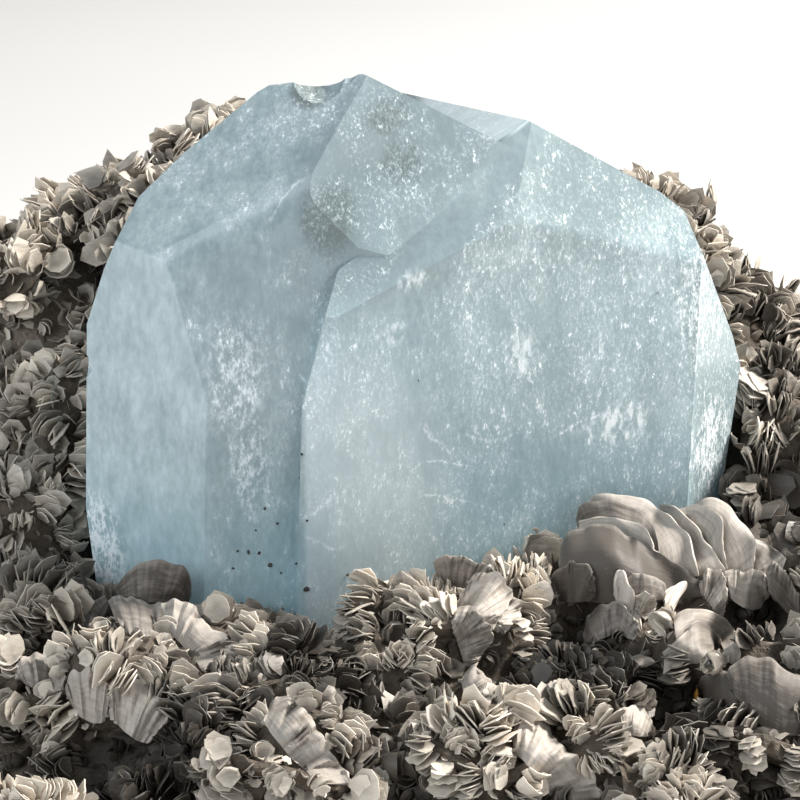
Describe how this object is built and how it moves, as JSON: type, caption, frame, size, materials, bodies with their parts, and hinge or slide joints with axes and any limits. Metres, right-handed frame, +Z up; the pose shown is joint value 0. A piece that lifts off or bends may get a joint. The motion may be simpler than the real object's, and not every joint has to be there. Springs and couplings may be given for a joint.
{
  "type": "mineral specimen",
  "caption": "Pale blue translucent crystal group standing in a matrix of curled mica rosettes, cut off flat below to rest on a shelf.",
  "frame": {"origin": "middle of the bounding box at the flat cut that the specimen rests on", "axes": "+Z up from the cut, -Y towards the crystal's broad front faces, +X to their right"},
  "size_m": [0.073, 0.083, 0.0455],
  "materials": {
    "barite_crystal": "translucent pale blue crystal, glassy faces over milky and veined inside",
    "mica_matrix": "cream to grey-brown mica plates with pearly edges"
  },
  "bodies": {
    "root": {"barite_crystal": "barite_crystal", "mica_matrix": "mica_matrix"}
  },
  "joints": []
}
